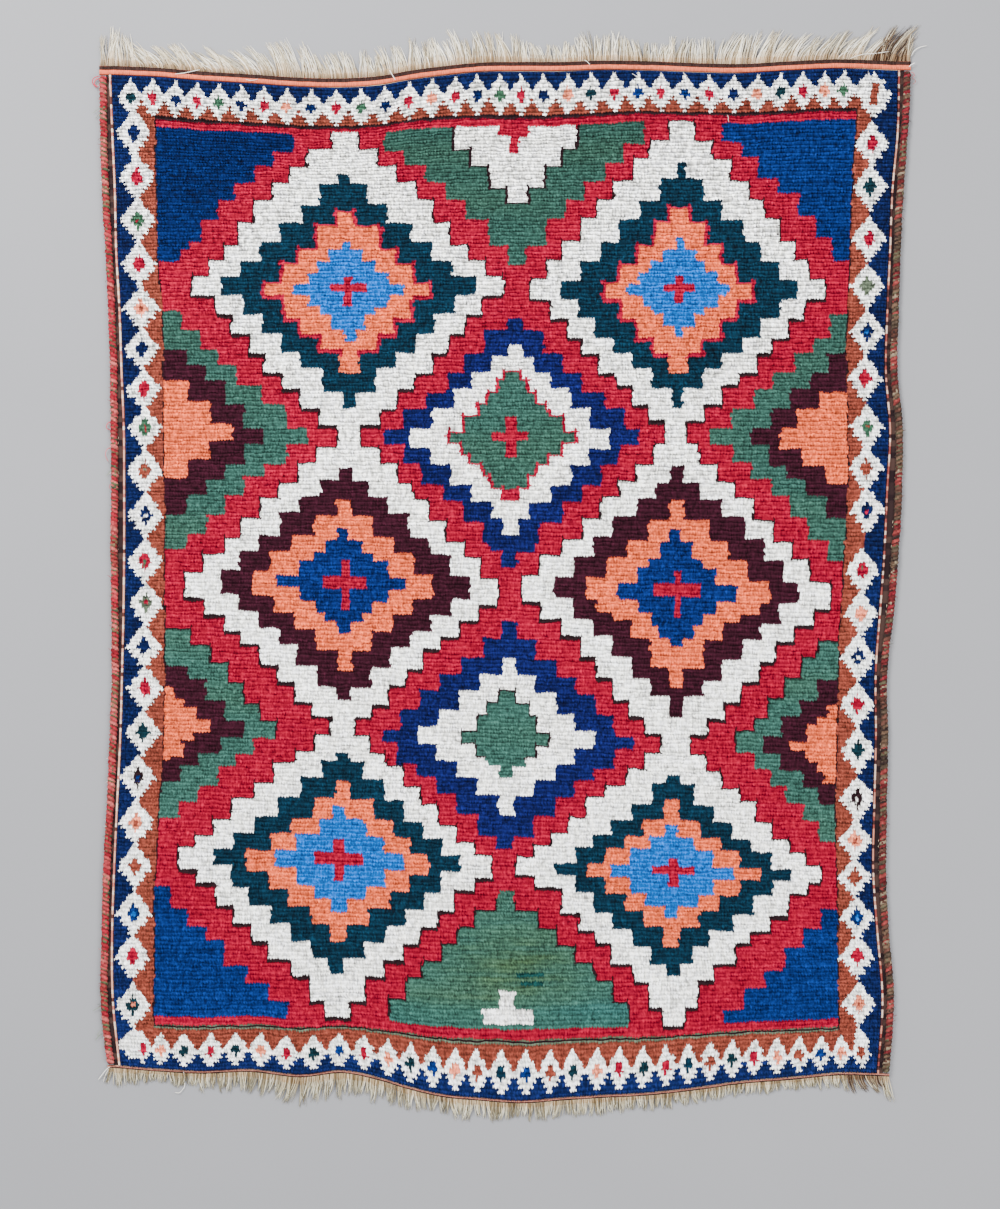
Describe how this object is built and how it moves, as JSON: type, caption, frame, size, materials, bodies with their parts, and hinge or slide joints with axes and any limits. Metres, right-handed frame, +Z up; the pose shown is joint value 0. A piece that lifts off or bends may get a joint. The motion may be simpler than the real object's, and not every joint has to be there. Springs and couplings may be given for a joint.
{
  "type": "gabbeh rug",
  "caption": "Hand-knotted gabbeh rug of stepped diamonds in a serrated border, lying flat, with wrapped side cords and a cut warp fringe at each end.",
  "frame": {"origin": "on the floor, under the middle of the rug's whole outline with its fringes", "axes": "+Z up from the floor, +Y along the rug towards the end with the longer fringe, +X across it"},
  "size_m": [1.2254, 1.6554, 0.0094],
  "materials": {
    "pile_wool": "cut wool pile",
    "warp_wool": "loose undyed wool yarn",
    "cord_wool": "wrapped wool yarn"
  },
  "bodies": {
    "root": {"rug_body": "pile_wool", "fringe_top": "warp_wool", "fringe_bottom": "warp_wool", "selvedge_left": "cord_wool", "selvedge_right": "cord_wool"}
  },
  "joints": []
}
